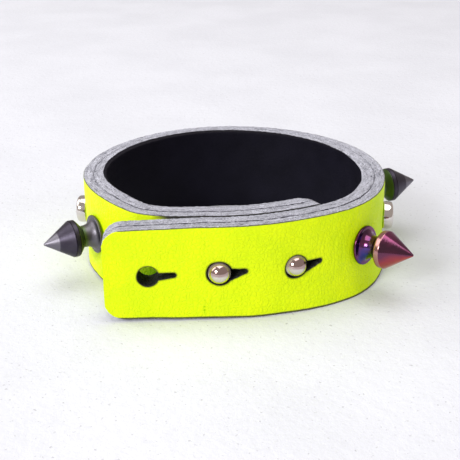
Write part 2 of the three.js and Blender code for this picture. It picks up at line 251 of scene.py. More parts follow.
# %% [markdown]
# ## Finishes
#
# A finish is a material whose numbers vary over the surface. Its arithmetic is written as Python: a Wire is a
# socket that +, - and * work on, each adding one Math node, and everything else is one call to `node`.

# %% Wires and finishes
class Wire:
    """An output socket that arithmetic works on."""

    def __init__(self, finish, socket):
        self.finish, self.socket = finish, socket

    def maths(self, operation, *others):
        inputs = dict(enumerate((self, *others)))
        return self.finish.node("ShaderNodeMath", {"operation": operation}, inputs)

    def __add__(self, other):
        return self.maths("ADD", other)

    def __mul__(self, other):
        return self.maths("MULTIPLY", other)

    def __sub__(self, other):
        return self.maths("SUBTRACT", other)

    def __rsub__(self, other):
        return self.finish.node("ShaderNodeMath", {"operation": "SUBTRACT"}, {0: other, 1: self})

    __radd__, __rmul__ = __add__, __mul__

    def either(self, other):
        """The greater of two masks."""
        return self.maths("MAXIMUM", other)

    def between(self, low, high):
        """0 below low, 1 above high, and a smooth step in between."""
        inputs = {"Value": self, "From Min": low, "From Max": high}
        return self.finish.node("ShaderNodeMapRange", {"interpolation_type": "SMOOTHSTEP"}, inputs)

    def away(self, middle, tight, wide):
        """0 within tight of middle, 1 beyond wide of it."""
        return (self - middle).maths("ABSOLUTE").between(tight, wide)


class Finish:
    """A material built on one Principled shader. Plain values go straight onto the shader's sockets."""

    def __init__(self, name, **values):
        self.material = bpy.data.materials.new(name)
        self.material.use_nodes = True
        self.tree = self.material.node_tree
        self.shader = self.tree.nodes["Principled BSDF"]
        for key, value in values.items():
            self.shader.inputs[key.replace("_", " ")].default_value = value

    def node(self, kind, settings=None, inputs=None, output=0):
        """A new node with its settings made and its inputs fed, as the Wire of one of its outputs."""
        made = self.tree.nodes.new(kind)
        for key, value in (settings or {}).items():
            setattr(made, key, value)
        for key, value in (inputs or {}).items():
            self.feed(made.inputs[key], value)
        return Wire(self, made.outputs[output])

    def feed(self, socket, value):
        """A link from a Wire, or a plain value or colour put on the socket."""
        if isinstance(value, Wire):
            self.tree.links.new(value.socket, socket)
        elif isinstance(value, tuple) and socket.type == "RGBA":
            socket.default_value = (*value, 1.0)
        else:
            socket.default_value = value

    def mix(self, factor, low, high):
        """Colours mixed: low where factor is 0, high where it is 1."""
        return self.node("ShaderNodeMix", {"data_type": "RGBA"}, {0: factor, 6: low, 7: high}, output=2)

    def film(self, factor, stops):
        """A colour picked along a list of (place, colour) stops."""
        wire = self.node("ShaderNodeValToRGB", None, {0: factor})
        ramp = wire.socket.node.color_ramp.elements
        while len(ramp) < len(stops):
            ramp.new(1.0)
        for element, (at, colour) in zip(ramp, stops):
            element.position, element.color = at, (*colour, 1.0)
        return wire

    def kept(self, name):
        """A vector kept on the piece's points."""
        return self.node("ShaderNodeAttribute", {"attribute_name": name}, output=1)

    def scaled(self, vector, scale):
        """A vector with each part times its part of scale."""
        return self.node("ShaderNodeVectorMath", {"operation": "MULTIPLY"}, {0: vector, 1: scale})

    def on_object(self, scale):
        """Object coordinates, in units of which scale go to a metre."""
        raw = self.node("ShaderNodeTexCoord", output=3)
        return self.node("ShaderNodeVectorMath", {"operation": "SCALE"}, {0: raw, "Scale": scale})

    def on_strap(self, scale):
        """The strap's own coordinates in millimetres (along, up, depth), each times its part of scale."""
        return self.scaled(self.kept("strap"), scale)

    def part(self, vector, axis):
        """One of a vector's three parts."""
        return self.node("ShaderNodeSeparateXYZ", None, {0: vector}, output=axis)

    def noise(self, vector, scale, detail=3.0, roughness=0.5):
        """Cloudy noise from 0 to 1."""
        inputs = {"Vector": vector, "Scale": scale, "Detail": detail, "Roughness": roughness}
        return self.node("ShaderNodeTexNoise", None, inputs)

    def cells(self, vector, scale):
        """Distance to the nearest crease between closed cells."""
        inputs = {"Vector": vector, "Scale": scale}
        return self.node("ShaderNodeTexVoronoi", {"feature": "DISTANCE_TO_EDGE"}, inputs)

    def bump(self, height, distance, strength=1.0):
        """A normal tilted by the slope of a height, at a distance in metres for each unit of it."""
        inputs = {"Height": height, "Distance": distance, "Strength": strength}
        return self.node("ShaderNodeBump", None, inputs)

    def wear(self, **links):
        """Wires linked to the shader's sockets. Gives back the finished material."""
        for key, wire in links.items():
            self.feed(self.shader.inputs[key.replace("_", " ")], wire)
        return self.material


# %% [markdown]
# ### Neon leather
#
# The outside is a dyed, lightly coated hide. Its pebble grain is small closed cells with creases between them,
# so a cell pattern gives the creases and noise softens it. The dye is fluorescent: it gives back a little more
# light than falls on it, which a faint painted glow stands for. The glow is greener than the dye, so it also paints
# green into the shaded leather. Painted shade darkens the rim under the tab's lap, the foot of the face, and the
# face round the keyholes and the balls, and the painted glow is off there.

# %% Neon leather
HALF_WIDTH = STRAP_WIDTH / 2
STRAP_UNITS = (1.0, 1.0, 1.0)
NEON = (0.74, 0.80, 0.0015)
NEON_DEEP = (0.60, 0.72, 0.0015)
NEON_PAINTED_GLOW, PAINTED_GLOW_STRENGTH = (0.15, 0.72, 0.0), 0.20  # greener than the dye, so that shaded leather turns green
NO_GLOW = (0.0, 0.0, 0.0)
# painted shade on the keyhole lips and round the balls
HOLE_SHADE_DARK = (0.012, 0.014, 0.006)
RIM_GREY = (0.10, 0.11, 0.05)
RIM_DEPTH = (0.06, 0.22)  # the coat ends this far below the face
RIM_UP = (HALF_WIDTH - 0.22, HALF_WIDTH - 0.10)  # and just short of the top edge
# painted shade, for the rim under the tab's lap and for the foot of the face
PAINTED_SHADE_DARK = (0.035, 0.034, 0.032)
LAP_END = (33.0, 37.5)  # up to here along the strap the top rim lies under the tab, and painted shade darkens it
LAP_UP = (HALF_WIDTH - 0.9, HALF_WIDTH - 0.5)
FOOT_SHADE_HEIGHT = 0.28  # painted contact shadow darkens the coated face this far up from its foot
GRAIN, GRAIN_CREASE, GRAIN_WARP = 1.15, (0.0, 0.22), 0.6  # cells to a millimetre, width of a crease
CREASES = (1.5, 0.35, 0.4)  # the long creases of bent leather stand up and down


def neon_leather():
    finish = Finish("neon_leather", Roughness=0.5, Emission_Strength=PAINTED_GLOW_STRENGTH, Specular_IOR_Level=0.16,
                    Emission_Color=(*NEON_PAINTED_GLOW, 1.0))
    strap = finish.on_strap(STRAP_UNITS)
    push = finish.node("ShaderNodeTexNoise", None, {"Vector": strap, "Scale": GRAIN_WARP}, output=1)
    warped = finish.node("ShaderNodeVectorMath", {"operation": "ADD"}, {0: strap, 1: push})
    grain = finish.cells(warped, GRAIN).between(*GRAIN_CREASE)
    fine = finish.noise(strap, 2.6, detail=4.0)
    broad = finish.noise(strap, 0.11, detail=2.0)
    dye = finish.mix(broad.between(0.3, 0.75) * 0.6 + (1 - grain) * 0.25, NEON, NEON_DEEP)
    depth, along = finish.part(strap, 2), finish.part(strap, 0)
    # painted shade round the holes and balls, and each point's height over the middle
    shade_and_up = finish.kept("hole_shade")
    hole_shade, up = finish.part(shade_and_up, 0), finish.part(shade_and_up, 1)
    rim = depth.between(*RIM_DEPTH).either(up.between(*RIM_UP))
    lap_shade = up.between(*LAP_UP) * (1 - along.between(*LAP_END))
    foot = 1 - up.between(FOOT_SHADE_HEIGHT - HALF_WIDTH, 2 * FOOT_SHADE_HEIGHT - HALF_WIDTH)
    # painted shade darkens the rim under the tab's lap, the foot of the face, and the face round the holes and
    # balls; the grey rim is the raw edge
    for mask, colour in ((rim, RIM_GREY), (lap_shade, PAINTED_SHADE_DARK), (foot * 0.9, PAINTED_SHADE_DARK), (hole_shade, HOLE_SHADE_DARK)):
        dye = finish.mix(mask, dye, colour)
    # the painted glow is off where the face is grey or carries painted shade
    painted_glow = finish.mix(rim.either(lap_shade).either(hole_shade).either(foot), NEON_PAINTED_GLOW, NO_GLOW)
    creases = finish.noise(finish.on_strap(CREASES), 0.9, detail=3.0)
    relief = grain * 0.35 + fine * 0.35 + creases * 0.75
    return finish.wear(Base_Color=dye, Emission_Color=painted_glow, Normal=finish.bump(relief, 0.00024, 0.7))


# %% [markdown]
# ### Black lining, raw edges and punched walls
#
# The lining is black leather with a tight, nearly flat grain. Where leather is cut, the grey fibres inside show:
# they run along the strap in layers, so noise is stretched far along it and hardly at all through its thickness.
# Inside the punched holes the fibres are pressed flat, and the walls are painted near black for the shade inside
# the holes.

# %% Lining
LINING_BLACK, LINING_WORN = (0.0012, 0.0010, 0.004), (0.0065, 0.0058, 0.0135)
LINING_GRAIN, LINING_CREASE = 1.8, (0.0, 0.2)


def black_leather():
    finish = Finish("black_leather", Roughness=0.5, Specular_IOR_Level=0.12)
    strap = finish.on_strap(STRAP_UNITS)
    grain = finish.cells(strap, LINING_GRAIN).between(*LINING_CREASE)
    broad = finish.noise(strap, 0.16, detail=3.0)
    colour = finish.mix(broad, LINING_BLACK, LINING_WORN)
    bump = finish.bump(grain * 0.5 + finish.noise(strap, 3.0) * 0.5, 0.00010, 0.5)
    return finish.wear(Base_Color=colour, Roughness=0.48 + broad * 0.2, Normal=bump)


# %% [markdown]
# The raw edge is built up in the order a leather worker would see it: grey fibres in layers, the dark glue joint
# wandering between the plies, cracks and specks, and last the inner part of the edge along the back made black.

# %% Raw edges
GLUE_AT = TOP_PLY + GLUE_LINE / 2
THICKNESS = LINING_DEPTH + LINING_PLY
BACK_EDGE_AT, BACK_EDGE_HALF, BACK_EDGE_DEPTH = length_at(118), 68.0, 2.0  # where the inner part of the raw edge is made black, over what length, and how deep
FRONT_LAP, FRONT_TAB = (44.0, 58.0), (END - 80.0, END - 50.0)  # the handled edges in front
FIBRE_DARK, FIBRE_LIGHT = (0.20, 0.205, 0.243), (0.66, 0.675, 0.765)
BLOTCH_GREY, HANDLED_GREY = (0.44, 0.45, 0.51), (0.20, 0.20, 0.235)
GLUE_DARK, BACK_EDGE_BLACK = (0.022, 0.02, 0.03), (0.006, 0.005, 0.01)


def raw_edge():
    finish = Finish("raw_edge", Roughness=0.85, Specular_IOR_Level=0.15)

    def fibrous(stretch, scale, detail, roughness=0.5):
        return finish.noise(finish.on_strap(stretch), scale, detail=detail, roughness=roughness)

    depth = finish.part(finish.on_strap(STRAP_UNITS), 2)
    layers = fibrous((0.22, 0.9, 1.3), 1.6, 4.0, 0.55)
    fibres = fibrous((2.1, 2.6, 3.4), 1.6, 4.0, 0.65)
    blotches = fibrous((0.12, 0.3, 0.3), 1.0, 2.0)
    streaks = (layers * 0.32 + fibres * 0.68).between(0.40, 0.60)
    grey = finish.mix(streaks, FIBRE_DARK, FIBRE_LIGHT)
    grey = finish.mix(blotches.between(0.35, 0.7) * 0.5, grey, BLOTCH_GREY)
    wander = fibrous((0.35, 1.0, 0.1), 1.0, 4.0, 0.6)
    joint = 1 - (depth - GLUE_AT + (wander - 0.5) * 0.9).maths("ABSOLUTE").between(0.06, 0.17)
    patchy = fibrous((0.16, 0.1, 0.1), 1.0, 2.0).between(0.40, 0.52)
    cracks = 1 - fibrous((0.30, 1.0, 2.9), 1.5, 3.0, 0.55).between(0.33, 0.40)
    specks = 1 - fibrous((1.8, 1.8, 2.8), 1.7, 2.0).between(0.27, 0.34)
    along = finish.part(finish.on_strap(STRAP_UNITS), 0)
    back = 1 - along.away(BACK_EDGE_AT, 0.0, BACK_EDGE_HALF)
    # the inner part of the raw edge along the back is made black
    back_edge_dark = (depth - THICKNESS + back * BACK_EDGE_DEPTH + (wander - 0.5) * 0.5).between(0.0, 0.15)
    front = (1 - along.between(*FRONT_LAP)).either(along.between(*FRONT_TAB))
    grey = finish.mix(front * 0.12, grey, HANDLED_GREY)
    dark = (joint * (0.08 + patchy * 0.25 + front * 0.7)).either(cracks * 0.8).either(specks * 0.85)
    colour = finish.mix(dark, grey, GLUE_DARK)
    colour = finish.mix(back_edge_dark * back.between(0.0, 0.1), colour, BACK_EDGE_BLACK)
    return finish.wear(Base_Color=colour, Normal=finish.bump(streaks * 0.4 - dark * 0.6, 0.0003, 0.7))


# %% [markdown]
# Inside a punched hole the fibres are pressed flat, so the same kind of noise is used almost unstretched.

# %% Punched walls
# the walls of the holes are painted near black: painted shade for the inside of the holes
PUNCHED_SHADE_BLACK, PUNCHED_SHADE_GREY = (0.006, 0.007, 0.008), (0.035, 0.038, 0.036)


def shaded_punched_wall():
    finish = Finish("shaded_punched_wall", Roughness=0.7, Specular_IOR_Level=0.3)
    fibres = finish.noise(finish.on_strap((1.2, 1.2, 0.8)), 2.2, detail=4.0)
    colour = finish.mix(fibres.between(0.35, 0.75), PUNCHED_SHADE_BLACK, PUNCHED_SHADE_GREY)
    return finish.wear(Base_Color=colour, Normal=finish.bump(fibres, 0.0002, 0.7))


NEON_LEATHER, BLACK_LEATHER = neon_leather(), black_leather()
RAW_EDGE, PUNCHED_WALL = raw_edge(), shaded_punched_wall()

# %% [markdown]
# ### Metals
#
# The studs and balls are polished nickel with faint wipe marks. Gunmetal spikes are satin, with fine rings left by
# the lathe. The iridescent spikes are polished steel under an oxide film, whose colour goes with its thickness:
# the colour is taken from where a point is along the spike and round it, with noise that lets the bands wander.

# %% Nickel
NICKEL_LIGHT, NICKEL_WIPED = (0.74, 0.70, 0.65), (0.62, 0.585, 0.55)
# painted reflection: a ball's top half is browner, and its rubbed waist is brown on top and pale cream below
BALL_TOP_REFLECTION = (0.46, 0.34, 0.315)
WAIST_DULL_TOP_REFLECTION, WAIST_DULL_BOTTOM_REFLECTION = (0.27, 0.21, 0.19), (0.52, 0.50, 0.44)
BELOW_WAIST_DARK = (0.012, 0.011, 0.010)
RUBBED, DARK_BELOW = (0.75, 1.3), (-0.1, 0.35)  # heights over a ball's waist where each stops


def nickel(name="nickel", waist=None):
    """Polished nickel. On a ball, the waist at a height over its foot is rubbed dull and made darker below; painted
    reflection makes the ball browner on its top half, and the rubbed waist brown on top and pale below.
    """
    finish = Finish(name, Metallic=1.0, Roughness=0.1)
    wipe = finish.noise(finish.on_object(900.0), 1.0, detail=4.0)
    colour = finish.mix(wipe, NICKEL_LIGHT, NICKEL_WIPED)
    polish = 0.07 + wipe.between(0.4, 0.8) * 0.12
    if waist is None:
        return finish.wear(Base_Color=colour, Roughness=polish)
    lathe = finish.kept("turned")
    upper, height = finish.part(lathe, 0).between(0.35, 0.65), finish.part(lathe, 1)
    colour = finish.mix(upper, colour, BALL_TOP_REFLECTION)
    rubbed = 1 - height.between(*(waist + edge for edge in RUBBED))
    colour = finish.mix(rubbed, colour, finish.mix(upper, WAIST_DULL_BOTTOM_REFLECTION, WAIST_DULL_TOP_REFLECTION))
    # below the waist the ball is made darker
    colour = finish.mix(height.between(*(waist + edge for edge in DARK_BELOW)), BELOW_WAIST_DARK, colour)
    return finish.wear(Base_Color=colour, Roughness=polish + rubbed * 0.3, Metallic=1 - rubbed * 0.85)


# %% [markdown]
# Heights on a spike are in millimetres over its foot: the flange, the hollow waist, and the cone above its rim.

# %% Gunmetal
LATHE_LINES = (0.00003, 0.4)  # height in metres and strength of the fine rings that turning leaves
GUNMETAL_DARK, GUNMETAL_LIGHT = (0.042, 0.036, 0.053), (0.078, 0.07, 0.092)
FLANGE_TINT, FLANGE_TOP = (0.15, 0.142, 0.165), (3.5, 4.3)
POINT_TINT, POINT_FROM = (0.17, 0.162, 0.19), (8.6, 8.9)
# the green on the waist is a painted reflection of the green shaded leather beside it
WAIST_GREEN_REFLECTION, WAIST_FROM, WAIST_TO = (0.085, 0.14, 0.06), (2.4, 3.2), (4.6, 4.75)
GROOVE_SHADE_DARK, GROOVES_AT, GROOVE_HALF = (0.012, 0.01, 0.014), (4.8, 5.72), (0.05, 0.14)


def gunmetal():
    finish = Finish("gunmetal", Metallic=1.0, Roughness=0.3)
    lathe = finish.kept("turned")
    along = finish.part(lathe, 1)
    rings = finish.noise(finish.scaled(lathe, (1.0, 9.0, 1.0)), 1.0, detail=3.0)
    smear = finish.noise(finish.on_object(500.0), 1.0, detail=3.0)
    colour = finish.mix(smear, GUNMETAL_DARK, GUNMETAL_LIGHT)
    colour = finish.mix(1 - along.between(*FLANGE_TOP), colour, FLANGE_TINT)
    colour = finish.mix(along.between(*POINT_FROM), colour, POINT_TINT)
    waist = along.between(*WAIST_FROM) * (1 - along.between(*WAIST_TO))
    # painted reflection of the shaded leather on the waist
    colour = finish.mix(waist * 0.75, colour, WAIST_GREEN_REFLECTION)
    # two fine dark lines at the rim's edges are painted shade of grooves that the profile does not cut
    lower, upper = (along.away(at, *GROOVE_HALF) for at in GROOVES_AT)
    colour = finish.mix((1 - lower * upper) * 0.8, colour, GROOVE_SHADE_DARK)
    lines = finish.bump(rings, *LATHE_LINES)
    return finish.wear(Base_Color=colour, Roughness=0.32 + rings * 0.22, Normal=lines)


# %% [markdown]
# An oxide film's colours run in a fixed order as it thickens, so each part of the spike has its list of stops.
# On the cone they are picked so that its top side is dark and its underside bright: a painted reflection.

# %% Iridescent film
FOOT_FILM = [
    (0.0, (0.09, 0.03, 0.08)), (0.22, (0.23, 0.05, 0.15)), (0.42, (0.11, 0.045, 0.22)),
    (0.6, (0.035, 0.055, 0.36)), (0.76, (0.025, 0.20, 0.10)), (0.9, (0.17, 0.06, 0.17)),
    (1.0, (0.36, 0.11, 0.13)),
]
CONE_FILM_AND_REFLECTION = [
    (0.0, (0.30, 0.06, 0.16)), (0.2, (0.12, 0.042, 0.085)), (0.42, (0.19, 0.045, 0.105)),
    (0.58, (0.50, 0.07, 0.085)), (0.72, (0.62, 0.15, 0.085)), (0.86, (0.36, 0.06, 0.17)),
    (1.0, (0.60, 0.30, 0.20)),
]
CONE_FROM, RIM_FROM, RIM_TO = (4.3, 4.8), (4.65, 4.75), (5.7, 5.8)
RIM_COPPER, FILM_SHADE = (0.80, 0.42, 0.38), (0.075, 0.055, 0.062)


def iridescent():
    finish = Finish("iridescent", Metallic=1.0, Roughness=0.14)
    lathe = finish.kept("turned")
    up, along = finish.part(lathe, 0), finish.part(lathe, 1)
    wander = finish.noise(finish.on_object(300.0), 1.0, detail=2.0)
    foot = finish.film(along * 0.13 + (1 - up) * 0.35 + (wander - 0.5) * 0.9, FOOT_FILM)
    # painted reflection: the cone is dark on its top side and bright underneath
    cone = finish.film((1 - up) * 0.75 + (along - 5.0) * 0.02 + (wander - 0.5) * 0.45, CONE_FILM_AND_REFLECTION)
    colour = finish.mix(along.between(*CONE_FROM), foot, cone)
    band = along.between(*RIM_FROM) * (1 - along.between(*RIM_TO))
    colour = finish.mix(band * 0.75, colour, RIM_COPPER)
    colour = finish.mix(0.30, colour, FILM_SHADE)
    rings = finish.noise(finish.scaled(lathe, (0.5, 7.0, 1.0)), 1.0, detail=2.0)
    lines = finish.bump(rings, *LATHE_LINES)
    return finish.wear(Base_Color=colour, Roughness=0.07 + rings * 0.14, Normal=lines)


# %% [markdown]
# The hidden fixings are plain steel, a little uneven from handling.

# %% Steel of the hidden fixings
STEEL_DARK, STEEL_LIGHT = (0.40, 0.40, 0.41), (0.55, 0.55, 0.56)


def screw_steel():
    finish = Finish("screw_steel", Metallic=1.0, Roughness=0.4)
    smear = finish.noise(finish.on_object(700.0), 1.0, detail=3.0)
    colour = finish.mix(smear, STEEL_DARK, STEEL_LIGHT)
    return finish.wear(Base_Color=colour, Roughness=0.3 + smear * 0.2)


NICKEL, GUNMETAL, IRIDESCENT, SCREW_STEEL = nickel(), gunmetal(), iridescent(), screw_steel()

# %% [markdown]
# ## The sheet of a ply
#
# A ply is a strip with keyholes in it. A boolean cut would leave slivers, so the strip is a grid of (along, up)
# points with a rectangle left out round each keyhole, and the rectangle is filled by rings that go step by step
# from the grid to the keyhole's outline. Both have the same count of points, so every face has four corners.

# %% Keyhole outlines
TAB_HOLES = (  # from the tab's end, height over the middle, radius, upper and lower slit half width, slit tilt
    dict(from_end=8.6, rise=-0.27, radius=2.07, upper=0.55, lower=0.75, tilt=0.03, buttoned=False),
    dict(from_end=22.5, rise=0.0, radius=2.45, upper=0.8, lower=1.45, tilt=0.05, buttoned=True),
    dict(from_end=38.2, rise=-0.2, radius=2.36, upper=0.8, lower=1.35, tilt=0.10, buttoned=True),
)
SLIT_REACH, SLIT_END = 5.5, 0.42
PATCH_LEFT, PATCH_RIGHT, PATCH_HALF = 3.6, 6.7, 3.9  # the rectangle: tip side, root side, up and down
PATCH_RINGS, PATCH_EASE = 9, 1.5
WALL_STEP = 0.3
HOLE_POINTS, SLIT_POINTS = 90, 12
HOLE_WAVER = 0.025  # share of its radius by which a punched hole is out of round
FLIP = np.array([-1, 1])  # a keyhole is drawn with its slit towards plus, and lies towards the band


def keyhole(hole, shares):
    """Points of the outline at shares of its length, anticlockwise from the slit's end.

    A round hole about the origin, joined by two straight walls to a small round end on the slit's side.
    """
    up, low = (math.asin(hole[key] / hole["radius"]) for key in ("upper", "lower"))
    arc = np.linspace(up, math.tau - low, HOLE_POINTS)
    cap = np.linspace(-np.pi / 2, np.pi / 2, SLIT_POINTS)
    end = np.stack([SLIT_REACH - SLIT_END + SLIT_END * np.cos(cap), SLIT_END * np.sin(cap)], -1)
    end[:, 1] += hole["tilt"] * SLIT_REACH
    ring = hole["radius"] * np.stack([np.cos(arc), np.sin(arc)], -1)
    ring *= (1 + HOLE_WAVER * waves(arc * 3, 0 * arc, 5.0, int(hole["from_end"])))[:, None]
    middle = SLIT_POINTS // 2
    loop = np.concatenate([end[middle:], ring, end[:middle + 1]])
    run = np.concatenate([[0], np.cumsum(np.linalg.norm(np.diff(loop, axis=0), axis=1))])
    return np.stack([np.interp(shares * run[-1], run, loop[:, k]) for k in (0, 1)], -1)


def patch(hole, frame_points):
    """Rings from a keyhole's outline out to the points of the grid round it, and directions into the hole."""
    centre = np.array([END - hole["from_end"], hole["rise"]])
    outer = (frame_points - centre) * FLIP
    step_out = np.linalg.norm(np.roll(outer, -1, 0) - outer, axis=1)
    inner = keyhole(hole, np.concatenate([[0], np.cumsum(step_out)[:-1]]) / step_out.sum())
    ease = (np.arange(PATCH_RINGS) / PATCH_RINGS)[:, None, None] ** PATCH_EASE
    rings = inner + (outer - inner) * ease
    along = np.roll(inner, -1, 0) - np.roll(inner, 1, 0)
    into = np.stack([-along[:, 1], along[:, 0]], -1) / np.linalg.norm(along, axis=1)[:, None]
    return (rings * FLIP + centre).reshape(-1, 2), into * FLIP


# %% [markdown]
# The grid itself is a product of columns and rows. Its rim is followed once round, and every point of it is told
# which way is out. A point on a seam between two pieces gets no easing there, so that the pieces meet exactly.

# %% Grid with keyholes
END_COLUMNS = 15  # columns that a rounded end is drawn with
ON_EDGE, OFF_EDGE = 1e-9, 1e-6


def spread(stops, step):
    """Values from stop to stop, evenly spaced by about step in each stretch."""
    counts = [max(2, round((b - a) / step) + 1) for a, b in zip(stops[:-1], stops[1:])]
    parts = [np.linspace(a, b, n)[:-1] for a, b, n in zip(stops[:-1], stops[1:], counts)]
    return np.concatenate([*parts, [stops[-1]]])


def outward(at, start, stop, round_start, round_stop):
    """Unit vectors out of the strip at points of its rim, and which of the points lie on a seam."""
    half = STRAP_WIDTH / 2
    corner = np.where(at[:, 0] < (start + stop) / 2, round_start, round_stop)
    before, beyond = (start + round_start - at[:, 0]).clip(0), (at[:, 0] - stop + round_stop).clip(0)
    towards = np.zeros_like(at)
    towards[:, 0] = beyond - before
    towards[:, 1] = np.sign(at[:, 1]) * (np.abs(at[:, 1]) - (half - corner)).clip(0)
    ends = (at[:, 0] <= start + ON_EDGE) | (at[:, 0] >= stop - ON_EDGE)
    seam = ends & (np.abs(at[:, 1]) < half - OFF_EDGE) & (corner == 0)
    straight = ~seam & (towards[:, 0] == 0)
    towards[straight] = np.stack([0 * at[straight, 1], np.sign(at[straight, 1])], -1)
    size = np.linalg.norm(towards, axis=1)
    return towards / np.where(size > 0, size, 1)[:, None], seam


def sheet(start, stop, step, holes=(), round_start=0.0, round_stop=0.0):
    """A strip from start to stop: points (along, up), faces, and its edge loops with outward directions.

    Columns cross the strip. In a rounded end their height follows a quarter circle and their spacing its cosine.
    """
    half = STRAP_WIDTH / 2
    rects = [(END - h["from_end"] - PATCH_RIGHT, END - h["from_end"] + PATCH_LEFT) for h in holes]
    flat_start, flat_stop = start + round_start, stop - round_stop
    columns = spread(sorted([flat_start, *np.ravel(rects), flat_stop]), step)
    bend = np.linspace(0, np.pi / 2, END_COLUMNS)[1:]
    if round_start:
        columns = np.concatenate([flat_start - round_start * np.sin(bend)[::-1], columns])
    if round_stop:
        columns = np.concatenate([columns, flat_stop + round_stop * np.sin(bend)])
    rows = spread([-half, -PATCH_HALF, PATCH_HALF, half], step)
    corner = np.where(columns < (start + stop) / 2, round_start, round_stop)
    past = np.minimum(np.maximum(flat_start - columns, columns - flat_stop).clip(0), corner)
    reach = half - corner + np.sqrt(corner**2 - past**2)
    grid = np.stack(np.broadcast_arrays(columns[:, None], rows[None] * reach[:, None] / half), -1)
    across, up = grid.shape[:2]
    index = np.arange(across * up).reshape(across, up)
    keep = np.ones((across - 1, up - 1), bool)
    points, faces, loops = [grid.reshape(-1, 2)], [], []
    count = across * up
    for hole, sides in zip(holes, rects):
        i0, i1 = (int(np.abs(columns - side).argmin()) for side in sides)
        j0, j1 = (int(np.abs(rows - side).argmin()) for side in (-PATCH_HALF, PATCH_HALF))
        keep[i0:i1, j0:j1] = False
        middle = (j0 + j1) // 2
        frame_of = np.concatenate([
            index[i0, middle:j1], index[i0:i1, j1], index[i1, j0 + 1:j1 + 1][::-1],
            index[i0 + 1:i1 + 1, j0][::-1], index[i0, j0:middle],
        ])
        rings, into = patch(hole, points[0][frame_of])
        ids = np.concatenate([count + np.arange(len(rings)).reshape(PATCH_RINGS, -1), [frame_of]])
        points.append(rings)
        count += len(rings)
        near, far = ids[:-1], ids[1:]
        quads = np.stack([near, far, np.roll(far, -1, 1), np.roll(near, -1, 1)], -1)
        faces.append(quads.reshape(-1, 4))
        loops.append((ids[0, ::-1], into[::-1], np.ones(len(into)), "hole"))
    cells = np.stack([index[:-1, :-1], index[:-1, 1:], index[1:, 1:], index[1:, :-1]], -1)[keep]
    rim = np.concatenate([index[:-1, 0], index[-1, :-1], index[1:, -1][::-1], index[0, 1:][::-1]])[::-1]
    towards, seam = outward(points[0][rim], start, stop, round_start, round_stop)
    loops.append((rim, towards, np.where(seam, 0.0, 1.0), "edge"))
    return np.concatenate(points), np.concatenate([cells, *faces]), loops


# %% [markdown]
# ## From sheet to leather
#
# The sheet is copied to the ply's flesh side, and every edge loop is joined to its copy by a wall of a few rows.
# A Solidify modifier would do as much, but here each row of the wall can be eased: the coated face turns down
# over a small round, the flesh side frays back by an uneven amount, and the fibres stand in and out a little.

# %% Surface relief
FACE_ROUND = 0.13
FRAY = 0.09
TAPER, TAPER_LENGTH = 0.5, 30.0
EDGE_WAVE = 0.10
TOP_WAVE, BASE_WAVE = 24.0, 19.0  # lengths of the wander of the two cut edges
BASE_LIFT, CARRIED = 0.45, 40.0  # the tab hangs on the balls, and its tip is just clear of the ground


def settle(points):
    """Height in millimetres of points (along, up): hand-cut edges wander, and the tab narrows at its end."""
    s, up = points[:, 0], points[:, 1]
    half = STRAP_WIDTH / 2
    near_top, near_base = np.clip(up / half, 0, 1) ** 2, np.clip(-up / half, 0, 1) ** 2
    narrowing = TAPER * np.clip(1 - (END - s) / TAPER_LENGTH, 0, 1) ** 1.5
    top = -EDGE_WAVE * (1 + 0.5 * waves(s, 0 * s, TOP_WAVE, 3)) - narrowing
    carried = np.clip(1 - (END - s) / CARRIED, 0, 1)
    base = EDGE_WAVE * np.clip(0.5 + 0.5 * waves(s, 0 * s, BASE_WAVE, 4), 0, 1.5) + BASE_LIFT * carried
    return half + up + near_top * top + near_base * base


# %% [markdown]
# Metal marks leather. Each spike and stud presses a ring into the face round its foot, and a buttoned slit puckers
# the face round it. The marks need the places of the metal on the strap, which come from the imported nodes.

# %% Where the metal stands
HOLE_PLACES = [(END - h["from_end"], h["rise"]) for h in TAB_HOLES if h["buttoned"]]


def strap_spot(node):
    """Where a spike or stud stands on the strap: its length along it and its height over the middle."""
    foot, _ = axis_of(node)
    x, y = foot[:2] / MM - RING_CENTRE
    return length_at(math.degrees(math.atan2(y, x))), foot[2] / MM - STRAP_WIDTH / 2


def under_spot(node):
    """Where a ball stud stands on the under end: the nearest point of the strap's first stretch to its axis."""
    foot, _ = axis_of(node)
    away = np.linalg.norm(PATH + RING_CENTRE - foot[:2] / MM, axis=1)
    first = PATH_LENGTH < INSET_LENGTH
    return PATH_LENGTH[first][away[first].argmin()], foot[2] / MM - STRAP_WIDTH / 2


STUD_SPOTS = [under_spot(n) for n in BALLS]
SPIKE_SPOTS = [strap_spot(n) for n in SPIKES]
CAP_SPOTS = [strap_spot(n) for n in CAPS]


# %% Pressed rings and puckers
PUCKER, PUCKER_WAVE, PUCKER_AT, PUCKER_WIDE = 0.085, 1.25, 4.2, 2.2  # height, length, distance from the hole
PUCKER_BEARING, PUCKER_TURN, PUCKER_LEAST = -0.9, 0.9, 0.35  # strongest below the slit, least share elsewhere
DIMPLE, DIMPLE_AT, DIMPLE_WIDE = 0.16, 2.5, 0.9
PRESS, PRESS_SPARE, PRESS_EDGE = 0.10, 0.5, 0.25
SPIKE_FOOT, CAP_FOOT = 3.9, 3.05
FAR = 500.0  # edge widths beyond which a pressed ring has no depth left


